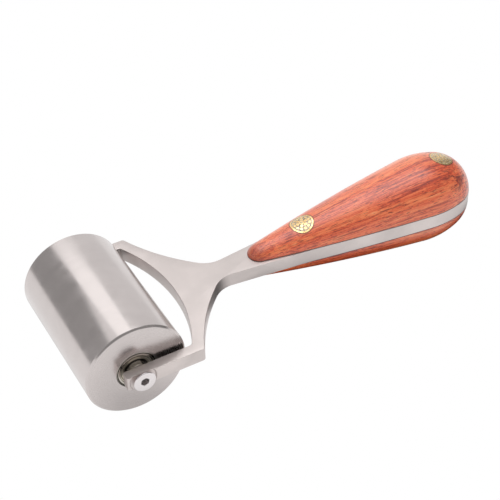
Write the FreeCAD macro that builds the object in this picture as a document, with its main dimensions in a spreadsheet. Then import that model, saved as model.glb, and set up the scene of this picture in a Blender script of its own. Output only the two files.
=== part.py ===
import FreeCAD, Part
import math
import os

import Sketcher
from FreeCAD import Placement, Rotation, Vector

# Seam roller: a solid steel roller on two ball bearings, carried on an axle screw between
# the arms of a flat steel fork. The fork's tang runs the whole length of the handle between
# two crowned wooden scales, held by two mosaic pins.
#
# Frame: millimetres, +Z up. The origin is the middle of the line on which the roller touches
# the surface that it rolls on. +X runs along the handle to its butt, and the axle is parallel
# to Y. "left" is the -Y side, where the head of the axle screw is, and "right" the +Y side.

DIMENSIONS = [
    # roller
    ("roller_diameter", 40.0),
    ("roller_length", 60.0),
    ("roller_chamfer", 0.7),
    ("bearing_shoulder", 1.5),
    ("seat_clearance", 0.02),
    ("bearing_inset", 0.2),
    # fork: a flat plate whose middle plane holds the axle
    ("axle_web", 0.5),
    ("plate_edge_round", 0.4),
    ("arm_gap", 1.4),
    ("arm_width", 4.3),
    ("arm_reach", 6.2),
    ("arm_tip_round", 0.8),
    ("crescent_gap", 10.0),
    ("crescent_rise", 8.09),
    ("crescent_corner", 1.5),
    ("shoulder_offset", 5.25),
    ("shoulder_round", 1.5),
    ("sweep_radius", 84.6),
    ("neck_offset", 32.2),
    ("neck_half_width", 4.83),
    ("neck_radius", 10.5),
    # handle: the outline of the tang and the profile of both scales
    ("scale_setback", 11.2),
    ("handle_length", 103.8),
    ("nose_radius", 5.2),
    ("flank_radius", 950.0),
    ("belly_radius", 37.0),
    ("belly_half_width", 16.6),
    ("butt_drop", 1.1),
    ("crown_drop", 1.0),
    ("flush_start", 25.0),
    # mosaic pins; the pattern inside is given as shares of the filling's diameter
    ("pin_diameter", 9.5),
    ("pin_wall", 0.55),
    ("pin_clearance", 0.05),
    ("front_pin_inset", 24.5),
    ("rear_pin_inset", 12.0),
    ("centre_tube_share", 0.24),
    ("centre_bore_share", 0.13),
    ("inner_rod_share", 0.15),
    ("inner_circle_share", 0.42),
    ("outer_rod_share", 0.125),
    ("outer_circle_share", 0.75),
    # axle: a hexagon socket screw with a tapered head, and what it clamps
    ("axle_diameter", 5.0),
    ("axle_clearance", 0.01),
    ("axle_hole_clearance", 0.15),
    ("screw_head_diameter", 8.7),
    ("screw_head_land", 0.45),
    ("screw_head_chamfer", 0.2),
    ("screw_end_chamfer", 0.6),
    ("screw_end_recess", 0.3),
    ("socket_across_flats", 3.0),
    ("socket_depth", 2.0),
    ("screw_seat_width", 0.15),
    ("spotface_clearance", 0.65),
    ("spotface_depth", 0.5),
    ("spacer_clearance", 0.1),
    ("spacer_wall", 0.9),
    ("tube_wall", 1.15),
    # ball bearing, 5 x 16 x 5
    ("bearing_outside", 16.0),
    ("bearing_width", 5.0),
    ("bearing_chamfer", 0.3),
    ("land_offset", 0.95),
    ("ball_diameter", 2.778),
    ("ball_count", 7),
    ("raceway_clearance", 0.04),
    ("cage_pocket_clearance", 0.05),
    ("cage_wall", 1.0),
    ("cage_rim", 0.16),
    ("shield_ledge", 0.4),
    ("shield_gap", 0.25),
    ("shield_flange_width", 0.7),
    ("shield_slope_width", 0.4),
    ("shield_thickness", 0.25),
    ("shield_recess", 0.2),
    ("shield_dish", 0.15),
]

INNER_RODS = 6
OUTER_RODS = 12

# Places that several pieces share, as expressions of the driving dimensions.
AXLE_HEIGHT = "Size.roller_diameter / 2"
ARM_INNER = "(Size.roller_length / 2 + Size.arm_gap)"
ARM_OUTER = "(Size.roller_length / 2 + Size.arm_gap + Size.arm_width)"
CRESCENT_APEX = "(Size.roller_diameter / 2 + Size.crescent_gap)"
CRESCENT_RADIUS = f"({ARM_INNER} * {ARM_INNER} / (2 * Size.crescent_rise) + Size.crescent_rise / 2)"
SHOULDER_X = "(Size.roller_diameter / 2 + Size.shoulder_offset)"
NECK_X = "(Size.roller_diameter / 2 + Size.neck_offset)"
TIP_X = f"({NECK_X} + Size.scale_setback)"
FLUSH_X = f"({TIP_X} + Size.flush_start)"
BUTT_X = f"({TIP_X} + Size.handle_length)"
BUTT_RADIUS = "(Size.belly_half_width - Size.butt_drop)"
FRONT_PIN_X = f"({TIP_X} + Size.front_pin_inset)"
REAR_PIN_X = f"({BUTT_X} - Size.rear_pin_inset)"
BEARING_Y = "(Size.roller_length / 2 - Size.bearing_inset - Size.bearing_width / 2)"
HALF_WIDTH = "Size.bearing_width / 2"
HEAD_SEAT_Y = f"({ARM_OUTER} - Size.spotface_depth)"
PLATE = "(Size.axle_diameter + 2 * Size.axle_web)"
CROWN_AXIS = f"({PLATE} / 2 - Size.crown_drop)"
AXLE_RADIUS = "(Size.axle_diameter / 2)"
SPACER_BORE_RADIUS = "(Size.axle_diameter / 2 + Size.spacer_clearance)"
HEAD_RADIUS = "(Size.screw_head_diameter / 2)"
AXLE_HOLE_RADIUS = "(Size.axle_diameter / 2 + Size.axle_hole_clearance)"
HEAD_SEAT_RADIUS = f"({AXLE_HOLE_RADIUS} + Size.screw_seat_width)"
HEAD_STAND = f"({HEAD_RADIUS} - {HEAD_SEAT_RADIUS} + Size.screw_head_land)"
BEARING_RADIUS = "(Size.bearing_outside / 2)"
PITCH_RADIUS = "((Size.axle_diameter + Size.bearing_outside) / 4)"
INNER_LAND = f"({PITCH_RADIUS} - Size.land_offset)"
OUTER_LAND = f"({PITCH_RADIUS} + Size.land_offset)"
SHIELD_RADIUS = f"({OUTER_LAND} + Size.shield_ledge)"
FILLING_DIAMETER = "(Size.pin_diameter - 2 * Size.pin_wall)"

doc = FreeCAD.newDocument("seam_roller")
size = doc.addObject("Spreadsheet::Sheet", "Size")
for row, (alias, millimetres) in enumerate(DIMENSIONS, start=1):
    size.set(f"A{row}", alias)
    size.set(f"B{row}", str(millimetres))
    size.setAlias(f"B{row}", alias)
doc.recompute()
gauge = doc.addObject("App::FeaturePython", "Gauge")

NODES = []


def value(expression):
    """The number that an expression of the sheet's cells gives."""
    result = gauge.evalExpression(str(expression))
    return float(getattr(result, "Value", result))


def node(piece, name):
    """Names a finished sub-part and lists it for export."""
    piece.Label = name
    NODES.append(piece)
    return piece


def place(piece, x="0", y="0", z=AXLE_HEIGHT, turn=None):
    """Puts a piece at a point given by expressions, after an optional rotation."""
    piece.Placement = Placement(Vector(), turn or Rotation())
    for axis, expression in (("x", x), ("y", y), ("z", z)):
        piece.setExpression(f"Placement.Base.{axis}", str(expression))
    return piece


def new_body(name):
    body = doc.addObject("PartDesign::Body", name + "_body")
    return body


def origin_feature(body, role):
    return next(item for item in body.Origin.OriginFeatures if item.Role == role)


def new_sketch(body, role, offset=None):
    """A sketch on one of the body's own origin planes, moved along its normal if asked."""
    sketch = body.newObject("Sketcher::SketchObject", body.Name + "_sketch")
    sketch.AttachmentSupport = [(origin_feature(body, role), "")]
    sketch.MapMode = "FlatFace"
    if offset is not None:
        sketch.setExpression("AttachmentOffset.Base.z", offset)
    return sketch


def bind(sketch, expression, kind, *elements):
    """A sketch dimension that follows the sheet."""
    index = sketch.addConstraint(Sketcher.Constraint(kind, *elements, value(expression)))
    sketch.setExpression(f"Constraints[{index}]", expression)


def pin_point(sketch, element, vertex, x, y):
    """Fixes one vertex at (x, y), each an expression, or None for a place on the axis."""
    if x is None:
        sketch.addConstraint(Sketcher.Constraint("PointOnObject", element, vertex, -2))
    else:
        bind(sketch, x, "DistanceX", -1, 1, element, vertex)
    if y is None:
        sketch.addConstraint(Sketcher.Constraint("PointOnObject", element, vertex, -1))
    else:
        bind(sketch, y, "DistanceY", -1, 1, element, vertex)


def point(x, y):
    return Vector(0 if x is None else value(x), 0 if y is None else value(y), 0)


def polygon(sketch, corners):
    """A closed outline of straight lines through corners given as pairs of expressions."""
    first = sketch.GeometryCount
    count = len(corners)
    for index, corner in enumerate(corners):
        following = corners[(index + 1) % count]
        sketch.addGeometry(Part.LineSegment(point(*corner), point(*following)), False)
    for index in range(count):
        following = first + (index + 1) % count
        sketch.addConstraint(Sketcher.Constraint("Coincident", first + index, 2, following, 1))
    for index, corner in enumerate(corners):
        pin_point(sketch, first + index, 1, *corner)


def circle(sketch, x, y, radius):
    middle = point(x, y)
    element = sketch.addGeometry(Part.Circle(middle, Vector(0, 0, 1), value(radius)), False)
    pin_point(sketch, element, 3, x, y)
    bind(sketch, radius, "Radius", element)


def arc_through(centre, radius, start, end):
    """A circular arc that runs anticlockwise about centre from start to end."""
    arms = (start - centre, end - centre)
    angles = [math.atan2(arm.y, arm.x) for arm in arms]
    if angles[1] < angles[0]:
        angles[1] += 2 * math.pi
    return Part.ArcOfCircle(Part.Circle(centre, Vector(0, 0, 1), radius), *angles)


def feature(body, kind, profile, **settings):
    """Adds a sketch-based feature to a body and makes it the body's tip."""
    item = body.newObject("PartDesign::" + kind, body.Name + "_" + kind.lower())
    item.Profile = profile
    for name, setting in settings.items():
        setattr(item, name, setting)
    body.Tip = item
    return item


def spin(body, sketch, kind="Revolution", axis="V_Axis"):
    """Turns a profile a full circle about one of its sketch's axes."""
    return feature(body, kind, sketch, ReferenceAxis=(sketch, [axis]), Angle=360.0)


def turned(name, corners):
    """A lathe-turned piece about its own Y axis, from (radius, y) corners."""
    body = new_body(name)
    sketch = new_sketch(body, "XY_Plane")
    polygon(sketch, corners)
    spin(body, sketch)
    return body


def require_cut(body, before, what):
    """Stops when a cut took nothing away."""
    doc.recompute()
    if body.Shape.Volume > before - 1e-6:
        raise RuntimeError(f"{what} cut nothing from {body.Name}")


# Circles that are tangent to each other and make up the handle's outline.


def meeting(first, first_reach, second, second_reach, side):
    """The point at two given distances from two centres, on one side of the line between."""
    gap = second - first
    along = (first_reach**2 - second_reach**2 + gap.Length**2) / (2 * gap.Length)
    across = math.sqrt(first_reach**2 - along**2)
    direction = gap / gap.Length
    return first + direction * along + Vector(-direction.y, direction.x, 0) * across * side


def touch(outer, radius, inner):
    """Where a circle of this centre and radius touches one inside it with centre inner."""
    direction = inner - outer
    return outer + direction / direction.Length * radius


class HandleCurve:
    """Centres and joints of the four tangent arcs from the handle's nose to its butt."""

    def __init__(self):
        self.nose_radius = value("Size.nose_radius")
        self.flank_radius = value("Size.flank_radius")
        self.belly_radius = value("Size.belly_radius")
        self.butt_radius = value(BUTT_RADIUS)
        self.tip = Vector(value(TIP_X), 0, 0)
        self.end = Vector(value(BUTT_X), 0, 0)
        self.nose = self.tip + Vector(self.nose_radius, 0, 0)
        self.butt = self.end - Vector(self.butt_radius, 0, 0)
        drop = value("Size.belly_radius - Size.belly_half_width")
        reach = math.sqrt((self.belly_radius - self.butt_radius) ** 2 - drop**2)
        self.belly = self.butt + Vector(-reach, -drop, 0)
        self.flank = meeting(
            self.nose,
            self.flank_radius - self.nose_radius,
            self.belly,
            self.flank_radius - self.belly_radius,
            -1,
        )
        self.nose_joint = touch(self.flank, self.flank_radius, self.nose)
        self.belly_joint = touch(self.flank, self.flank_radius, self.belly)
        self.butt_joint = touch(self.belly, self.belly_radius, self.butt)


def handle_arcs(sketch, curve, start, guide=False):
    """Draws flank, belly and butt from start to the butt's end on the axis, and binds them."""
    flank_arc = arc_through(curve.flank, curve.flank_radius, curve.belly_joint, start)
    belly_arc = arc_through(curve.belly, curve.belly_radius, curve.butt_joint, curve.belly_joint)
    butt_arc = arc_through(curve.butt, curve.butt_radius, curve.end, curve.butt_joint)
    flank, belly, butt = sketch.addGeometry([flank_arc, belly_arc, butt_arc], guide)
    sketch.addConstraint(Sketcher.Constraint("Tangent", flank, 1, belly, 2))
    sketch.addConstraint(Sketcher.Constraint("Tangent", belly, 1, butt, 2))
    bind(sketch, "Size.flank_radius", "Radius", flank)
    bind(sketch, "Size.belly_radius", "Radius", belly)
    bind(sketch, BUTT_RADIUS, "Radius", butt)
    bind(sketch, "Size.belly_half_width - Size.belly_radius", "DistanceY", -1, 1, belly, 3)
    sketch.addConstraint(Sketcher.Constraint("PointOnObject", butt, 3, -1))
    pin_point(sketch, butt, 1, BUTT_X, None)
    return flank, butt


def nose_circle(sketch, curve):
    """A guide circle, the handle's nose, that the flank arc is tangent to."""
    circle_shape = Part.Circle(curve.nose, Vector(0, 0, 1), curve.nose_radius)
    nose = sketch.addGeometry(circle_shape, True)
    pin_point(sketch, nose, 3, f"{TIP_X} + Size.nose_radius", None)
    bind(sketch, "Size.nose_radius", "Radius", nose)
    return nose


CURVE = HandleCurve()

# --- Fork and tang, one flat piece ---------------------------------------------------


def fork_outline(sketch):
    """Half of the fork in plan, y >= 0, from the crescent's apex to the flush line."""
    inner, outer, reach = value(ARM_INNER), value(ARM_OUTER), value("Size.arm_reach")
    crescent_radius = value(CRESCENT_RADIUS)
    corner_radius = value("Size.crescent_corner")
    shoulder_radius = value("Size.shoulder_round")
    sweep_radius = value("Size.sweep_radius")
    neck_radius = value("Size.neck_radius")

    apex = Vector(value(CRESCENT_APEX), 0, 0)
    crescent = apex - Vector(crescent_radius, 0, 0)
    corner_y = inner - corner_radius
    corner_reach = math.sqrt((crescent_radius - corner_radius) ** 2 - corner_y**2)
    corner = crescent + Vector(corner_reach, corner_y, 0)
    corner_joint = touch(crescent, crescent_radius, corner)

    neck = Vector(value(NECK_X), value("Size.neck_half_width") + neck_radius, 0)
    shoulder_point = Vector(value(SHOULDER_X), outer, 0)
    sweep = meeting(neck, sweep_radius - neck_radius, shoulder_point, sweep_radius, -1)
    neck_joint = touch(sweep, sweep_radius, neck)
    shoulder_y = outer - shoulder_radius
    shoulder_reach = math.sqrt((sweep_radius + shoulder_radius) ** 2 - (sweep.y - shoulder_y) ** 2)
    shoulder = Vector(sweep.x - shoulder_reach, shoulder_y, 0)
    shoulder_joint = touch(sweep, sweep_radius, shoulder)

    flush_x = value(FLUSH_X)
    flush_drop = math.sqrt(CURVE.flank_radius**2 - (flush_x - CURVE.flank.x) ** 2)
    flush = Vector(flush_x, CURVE.flank.y + flush_drop, 0)
    run = flush - neck
    tangent_turn = math.acos(neck_radius / run.Length)
    heading = math.atan2(run.y, run.x) - tangent_turn
    taper_start = neck + Vector(math.cos(heading), math.sin(heading), 0) * neck_radius

    tip_inner = Vector(-reach, inner, 0)
    tip_outer = Vector(-reach, outer, 0)
    corner_end = Vector(corner.x, inner, 0)
    shoulder_end = Vector(shoulder.x, outer, 0)
    pieces = [
        arc_through(crescent, crescent_radius, apex, corner_joint),
        arc_through(corner, corner_radius, corner_joint, corner_end),
        Part.LineSegment(corner_end, tip_inner),
        Part.LineSegment(tip_inner, tip_outer),
        Part.LineSegment(tip_outer, shoulder_end),
        arc_through(shoulder, shoulder_radius, shoulder_joint, shoulder_end),
        arc_through(sweep, sweep_radius, shoulder_joint, neck_joint),
        arc_through(neck, neck_radius, neck_joint, taper_start),
        Part.LineSegment(taper_start, flush),
        Part.LineSegment(flush, Vector(flush.x, 0, 0)),
        Part.LineSegment(Vector(flush.x, 0, 0), apex),
    ]
    for piece in pieces:
        sketch.addGeometry(piece, False)
    joints = [
        ("Tangent", 0, 2, 1, 1),
        ("Tangent", 1, 2, 2, 1),
        ("Coincident", 2, 2, 3, 1),
        ("Coincident", 3, 2, 4, 1),
        ("Tangent", 4, 2, 5, 2),
        ("Tangent", 5, 1, 6, 1),
        ("Tangent", 6, 2, 7, 1),
        ("Tangent", 7, 2, 8, 1),
        ("Coincident", 8, 2, 9, 1),
        ("Coincident", 9, 2, 10, 1),
        ("Coincident", 10, 2, 0, 1),
        ("Horizontal", 2),
        ("Vertical", 3),
        ("Horizontal", 4),
        ("PointOnObject", 0, 3, -1),
        ("PointOnObject", 0, 1, -1),
    ]
    for kind, *elements in joints:
        sketch.addConstraint(Sketcher.Constraint(kind, *elements))
    for element, name in (
        (1, "crescent_corner"),
        (5, "shoulder_round"),
        (6, "sweep_radius"),
        (7, "neck_radius"),
    ):
        bind(sketch, "Size." + name, "Radius", element)
    bind(sketch, CRESCENT_RADIUS, "Radius", 0)
    bind(sketch, CRESCENT_APEX, "DistanceX", -1, 1, 0, 1)
    bind(sketch, ARM_INNER, "DistanceY", -1, 1, 2, 2)
    bind(sketch, ARM_OUTER, "DistanceY", -1, 1, 4, 1)
    bind(sketch, "Size.arm_reach", "DistanceX", 3, 1, -1, 1)
    bind(sketch, NECK_X, "DistanceX", -1, 1, 7, 3)
    bind(sketch, "Size.neck_half_width + Size.neck_radius", "DistanceY", -1, 1, 7, 3)
    mark = sketch.addGeometry(Part.Point(shoulder_point), True)
    pin_point(sketch, mark, 1, SHOULDER_X, ARM_OUTER)
    sketch.addConstraint(Sketcher.Constraint("PointOnObject", mark, 1, 6))
    sketch.addConstraint(Sketcher.Constraint("Vertical", 9))
    pin_point(sketch, 9, 2, FLUSH_X, None)
    nose = nose_circle(sketch, CURVE)
    flank, _ = handle_arcs(sketch, CURVE, flush, guide=True)
    sketch.addConstraint(Sketcher.Constraint("Tangent", nose, flank))
    sketch.addConstraint(Sketcher.Constraint("Coincident", 8, 2, flank, 2))
    return flush


def tang_outline(sketch, flush):
    """Half of the tang in plan, y >= 0, from the flush line to the butt."""
    nose = nose_circle(sketch, CURVE)
    flank, butt = handle_arcs(sketch, CURVE, flush)
    sketch.addConstraint(Sketcher.Constraint("Tangent", nose, flank))
    foot = Vector(flush.x, 0, 0)
    axis_line = sketch.addGeometry(Part.LineSegment(CURVE.end, foot), False)
    flush_line = sketch.addGeometry(Part.LineSegment(foot, flush), False)
    sketch.addConstraint(Sketcher.Constraint("Coincident", butt, 1, axis_line, 1))
    sketch.addConstraint(Sketcher.Constraint("Coincident", axis_line, 2, flush_line, 1))
    sketch.addConstraint(Sketcher.Constraint("Coincident", flush_line, 2, flank, 2))
    sketch.addConstraint(Sketcher.Constraint("Vertical", flush_line))
    pin_point(sketch, axis_line, 2, FLUSH_X, None)


def edge_names(shape, wanted):
    """Names of the edges that pass a test of their own middle point."""
    names = []
    for index, edge in enumerate(shape.Edges, start=1):
        middle = edge.valueAt((edge.FirstParameter + edge.LastParameter) / 2)
        if wanted(edge, middle):
            names.append(f"Edge{index}")
    return names


def round_edges(body, base, names, radius):
    fillet = body.newObject("PartDesign::Fillet", body.Name + "_fillet")
    fillet.Base = (base, names)
    fillet.setExpression("Radius", radius)
    body.Tip = fillet
    return fillet


def mirror_across(body, role, *originals):
    """Repeats features on the other side of one of the body's origin planes."""
    mirrored = body.newObject("PartDesign::Mirrored", body.Name + "_mirrored")
    mirrored.Originals = list(originals)
    mirrored.MirrorPlane = (origin_feature(body, role), [""])
    body.Tip = mirrored
    return mirrored


def pad_plate(body, sketch):
    """Pads an outline to the plate's thickness, half on each side of its middle plane."""
    pad = feature(body, "Pad", sketch, Midplane=True)
    pad.setExpression("Length", PLATE)
    return pad


def pin_circles(sketch, radius):
    for x in (FRONT_PIN_X, REAR_PIN_X):
        circle(sketch, x, None, radius)


def fork_tang():
    body = new_body("fork_tang")
    outline = new_sketch(body, "XY_Plane")
    flush = fork_outline(outline)
    front_half = pad_plate(body, outline)
    front = mirror_across(body, "XZ_Plane", front_half)
    doc.recompute()

    tip_x = -value("Size.arm_reach")
    corners = edge_names(
        front.Shape,
        lambda edge, middle: abs(middle.x - tip_x) < 1e-6 and abs(middle.z) < 1e-6,
    )
    tips = round_edges(body, front, corners, "Size.arm_tip_round")
    doc.recompute()

    half_thickness = value(PLATE) / 2
    rims = edge_names(
        tips.Shape,
        lambda edge, middle: abs(abs(middle.z) - half_thickness) < 1e-6
        and middle.x < flush.x - 1e-3,
    )
    round_edges(body, tips, rims, "Size.plate_edge_round")

    tang_sketch = new_sketch(body, "XY_Plane")
    tang_outline(tang_sketch, flush)
    tang_half = pad_plate(body, tang_sketch)
    mirror_across(body, "XZ_Plane", tang_half)
    doc.recompute()

    before = body.Shape.Volume
    pins = new_sketch(body, "XY_Plane")
    pin_circles(pins, "Size.pin_diameter / 2 + Size.pin_clearance")
    feature(body, "Pocket", pins, Type="ThroughAll", Midplane=True)
    require_cut(body, before, "the pin holes")

    # The left arm has a clearance hole with a seat in a sloped spotface, the right a tapped one.
    before = body.Shape.Volume
    holes = new_sketch(body, "XY_Plane")
    beyond_left = f"-({ARM_OUTER} + 1)"
    spotface = f"{HEAD_RADIUS} + Size.spotface_clearance"
    polygon(
        holes,
        [
            (None, beyond_left),
            (f"{spotface} + Size.spotface_depth + 1", beyond_left),
            (spotface, f"-{HEAD_SEAT_Y}"),
            (HEAD_SEAT_RADIUS, f"-{HEAD_SEAT_Y}"),
            (AXLE_HOLE_RADIUS, f"-({HEAD_SEAT_Y} - Size.screw_seat_width)"),
            (AXLE_HOLE_RADIUS, f"-({ARM_INNER} - 1)"),
            (None, f"-({ARM_INNER} - 1)"),
        ],
    )
    polygon(
        holes,
        [
            (None, f"{ARM_INNER} - 1"),
            (AXLE_RADIUS, f"{ARM_INNER} - 1"),
            (AXLE_RADIUS, f"{ARM_OUTER} + 1"),
            (None, f"{ARM_OUTER} + 1"),
        ],
    )
    spin(body, holes, "Groove")
    require_cut(body, before, "the axle holes")
    return place(body)


# --- Handle scales and the pins through them -----------------------------------------


def scale_blank(name, side):
    """A crowned half of the handle, turned about an axis just inside the plate's face."""
    body = new_body(name + "_blank")
    profile = new_sketch(body, "XY_Plane")
    flank, butt = handle_arcs(profile, CURVE, CURVE.nose_joint)
    nose_arc = arc_through(CURVE.nose, CURVE.nose_radius, CURVE.nose_joint, CURVE.tip)
    nose = profile.addGeometry(nose_arc, False)
    axis_line = profile.addGeometry(Part.LineSegment(CURVE.tip, CURVE.end), False)
    profile.addConstraint(Sketcher.Constraint("Tangent", flank, 2, nose, 1))
    profile.addConstraint(Sketcher.Constraint("PointOnObject", nose, 3, -1))
    profile.addConstraint(Sketcher.Constraint("Coincident", nose, 2, axis_line, 1))
    profile.addConstraint(Sketcher.Constraint("Coincident", axis_line, 2, butt, 1))
    bind(profile, "Size.nose_radius", "Radius", nose)
    pin_point(profile, nose, 2, TIP_X, None)
    spin(body, profile, axis="H_Axis")
    doc.recompute()

    before = body.Shape.Volume
    below = new_sketch(body, "XZ_Plane")
    depth = "-(Size.belly_half_width + 5)"
    polygon(
        below,
        [
            (f"{TIP_X} - 5", depth),
            (f"{BUTT_X} + 5", depth),
            (f"{BUTT_X} + 5", "Size.crown_drop"),
            (f"{TIP_X} - 5", "Size.crown_drop"),
        ],
    )
    feature(body, "Pocket", below, Type="ThroughAll", Midplane=True)
    require_cut(body, before, "the plate's face")
    if side > 0:
        return place(body, z=f"{AXLE_HEIGHT} + {CROWN_AXIS}")
    return place(body, z=f"{AXLE_HEIGHT} - {CROWN_AXIS}", turn=Rotation(Vector(1, 0, 0), 180))


def rod(name, x, y, radius):
    """An upright cylinder through the whole handle, at (x, y)."""
    cylinder = doc.addObject("Part::Cylinder", name)
    cylinder.setExpression("Radius", radius)
    cylinder.setExpression("Height", f"2 * (Size.belly_half_width + {PLATE})")
    low = f"{AXLE_HEIGHT} - Size.belly_half_width - {PLATE}"
    return place(cylinder, x, y, low)


def boolean(kind, name, base, tool):
    item = doc.addObject("Part::" + kind, name)
    item.Base = base
    item.Tool = tool
    return item


def gather(kind, name, pieces):
    """A Part::MultiFuse or Part::Compound of pieces."""
    item = doc.addObject("Part::" + kind, name)
    setattr(item, "Shapes" if kind == "MultiFuse" else "Links", pieces)
    return item


def share_radius(name):
    """Half of a diameter that is a share of the filling's diameter."""
    return f"{FILLING_DIAMETER} * Size.{name}_share / 2"


def pin_rods(name, pin_x):
    """A centre tube and two rings of rods, the metal pattern inside one mosaic pin."""
    outer = rod(name + "_centre_outside", pin_x, "0", share_radius("centre_tube"))
    bore = rod(name + "_centre_bore", pin_x, "0", share_radius("centre_bore"))
    pieces = [boolean("Cut", name + "_centre", outer, bore)]
    for ring, count in (("inner", INNER_RODS), ("outer", OUTER_RODS)):
        for index in range(count):
            angle = f"{360 * index / count}"
            reach = share_radius(ring + "_circle")
            x = f"{pin_x} + {reach} * cos({angle} deg)"
            y = f"{reach} * sin({angle} deg)"
            pieces.append(rod(f"{name}_{ring}_{index}", x, y, share_radius(ring + "_rod")))
    return pieces


def mosaic_pin(name, pin_x, envelope):
    """A brass tube, the resin that fills it and its rods, all finished flush with the wood."""
    outside = rod(name + "_outside", pin_x, "0", "Size.pin_diameter / 2")
    bore = rod(name + "_bore", pin_x, "0", f"{FILLING_DIAMETER} / 2")
    filling = rod(name + "_filling", pin_x, "0", f"{FILLING_DIAMETER} / 2")
    wall = boolean("Cut", name + "_wall", outside, bore)
    rods = gather("Compound", name + "_rod_bundle", pin_rods(name, pin_x))
    resin = boolean("Cut", name + "_resin_block", filling, rods)
    for piece, part in ((wall, "tube"), (resin, "resin"), (rods, "rods")):
        finished = boolean("Common", f"{name}_{part}_finished", piece, envelope)
        node(finished, f"{name}_{part}")


def handle():
    """Both scales, and the pins cut to the surface of the scales."""
    top_blank = scale_blank("top_scale", 1)
    bottom_blank = scale_blank("bottom_scale", -1)
    core = doc.addObject("Part::Box", "plate_core")
    core.setExpression("Length", "Size.handle_length")
    core.setExpression("Width", "Size.pin_diameter + 2")
    core.setExpression("Height", PLATE)
    place(core, TIP_X, "-Size.pin_diameter / 2 - 1", f"{AXLE_HEIGHT} - {PLATE} / 2")
    envelope = gather("MultiFuse", "handle_envelope", [top_blank, bottom_blank, core])

    hole_radius = "Size.pin_diameter / 2 + Size.pin_clearance"
    for name, blank in (("top_scale", top_blank), ("bottom_scale", bottom_blank)):
        holes = [
            rod(f"{name}_{which}_hole", x, "0", hole_radius)
            for which, x in (("front", FRONT_PIN_X), ("rear", REAR_PIN_X))
        ]
        drills = gather("Compound", name + "_holes", holes)
        node(boolean("Cut", name + "_drilled", blank, drills), name)
    mosaic_pin("front_pin", FRONT_PIN_X, envelope)
    mosaic_pin("rear_pin", REAR_PIN_X, envelope)


# --- Axle screw and what it clamps ---------------------------------------------------


def axle_screw():
    """Socket screw with a 90 degree taper under its head, which seats at local y = 0."""
    shank = f"({AXLE_RADIUS} - Size.axle_clearance)"
    head = HEAD_RADIUS
    length = f"({HEAD_SEAT_Y} + {ARM_OUTER} - Size.screw_end_recess)"
    body = turned(
        "axle_screw",
        [
            (None, f"-{HEAD_STAND}"),
            (f"{head} - Size.screw_head_chamfer", f"-{HEAD_STAND}"),
            (head, f"-{HEAD_STAND} + Size.screw_head_chamfer"),
            (head, f"-{HEAD_STAND} + Size.screw_head_land"),
            (shank, f"{HEAD_SEAT_RADIUS} - {shank}"),
            (shank, f"{length} - Size.screw_end_chamfer"),
            (f"{shank} - Size.screw_end_chamfer", length),
            (None, length),
        ],
    )
    doc.recompute()
    before = body.Shape.Volume
    socket = new_sketch(body, "XZ_Plane", HEAD_STAND)
    reach = "Size.socket_across_flats / sqrt(3)"
    corners = [
        (f"{reach} * cos({angle} deg)", f"{reach} * sin({angle} deg)")
        for angle in range(15, 375, 60)
    ]
    polygon(socket, corners)
    pocket = feature(body, "Pocket", socket)
    pocket.setExpression("Length", "Size.socket_depth")
    require_cut(body, before, "the hexagon socket")
    return place(body, y=f"-{HEAD_SEAT_Y}")


def plain_ring(name, bore, outside, half_length):
    """A plain tube about its own Y axis."""
    return turned(
        name,
        [
            (bore, f"-{half_length}"),
            (outside, f"-{half_length}"),
            (outside, half_length),
            (bore, half_length),
        ],
    )


def sleeve(name, wall, half_length):
    """A tube that slides over the axle screw."""
    return plain_ring(name, SPACER_BORE_RADIUS, f"{SPACER_BORE_RADIUS} + {wall}", half_length)


def clamped_sleeves():
    """The spacer at each arm and the tube that keeps the two inner rings apart."""
    face_y = "(Size.roller_length / 2 - Size.bearing_inset)"
    half_spacer = "((Size.arm_gap + Size.bearing_inset) / 2)"
    middle_y = f"({face_y} + {half_spacer})"
    for name, side in (("left_spacer", "-"), ("right_spacer", "")):
        spacer = sleeve(name, "Size.spacer_wall", half_spacer)
        node(place(spacer, y=side + middle_y), name)
    half_tube = f"({BEARING_Y} - {HALF_WIDTH})"
    tube = sleeve("spacer_tube", "Size.tube_wall", half_tube)
    node(place(tube), "spacer_tube")


# --- Roller and bearings -------------------------------------------------------------


def roller():
    """A solid cylinder with a through bore, opened at both ends to seat a bearing."""
    seat = f"({BEARING_RADIUS} + Size.seat_clearance)"
    bore = f"({BEARING_RADIUS} - Size.bearing_shoulder)"
    half_length = "Size.roller_length / 2"
    shoulder = f"({BEARING_Y} - {HALF_WIDTH})"
    radius = "Size.roller_diameter / 2"
    half_profile = [
        (bore, shoulder),
        (seat, shoulder),
        (seat, half_length),
        (f"{radius} - Size.roller_chamfer", half_length),
        (radius, f"{half_length} - Size.roller_chamfer"),
    ]
    mirrored_profile = [(x, f"-({y})") for x, y in reversed(half_profile)]
    return place(turned("roller", half_profile + mirrored_profile))


def raceway(body):
    """Cuts the ball groove into a bearing ring."""
    doc.recompute()
    before = body.Shape.Volume
    groove = new_sketch(body, "XY_Plane")
    circle(groove, PITCH_RADIUS, None, "Size.ball_diameter / 2 + Size.raceway_clearance")
    spin(body, groove, "Groove")
    require_cut(body, before, "the raceway")


def outer_ring(name):
    chamfer = "Size.bearing_chamfer"
    ledge = f"({HALF_WIDTH} - Size.shield_recess - Size.shield_thickness)"
    half_profile = [
        (OUTER_LAND, ledge),
        (SHIELD_RADIUS, ledge),
        (SHIELD_RADIUS, HALF_WIDTH),
        (f"{BEARING_RADIUS} - {chamfer}", HALF_WIDTH),
        (BEARING_RADIUS, f"{HALF_WIDTH} - {chamfer}"),
    ]
    mirrored_profile = [(x, f"-({y})") for x, y in reversed(half_profile)]
    body = turned(name, half_profile + mirrored_profile)
    raceway(body)
    return body


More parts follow.
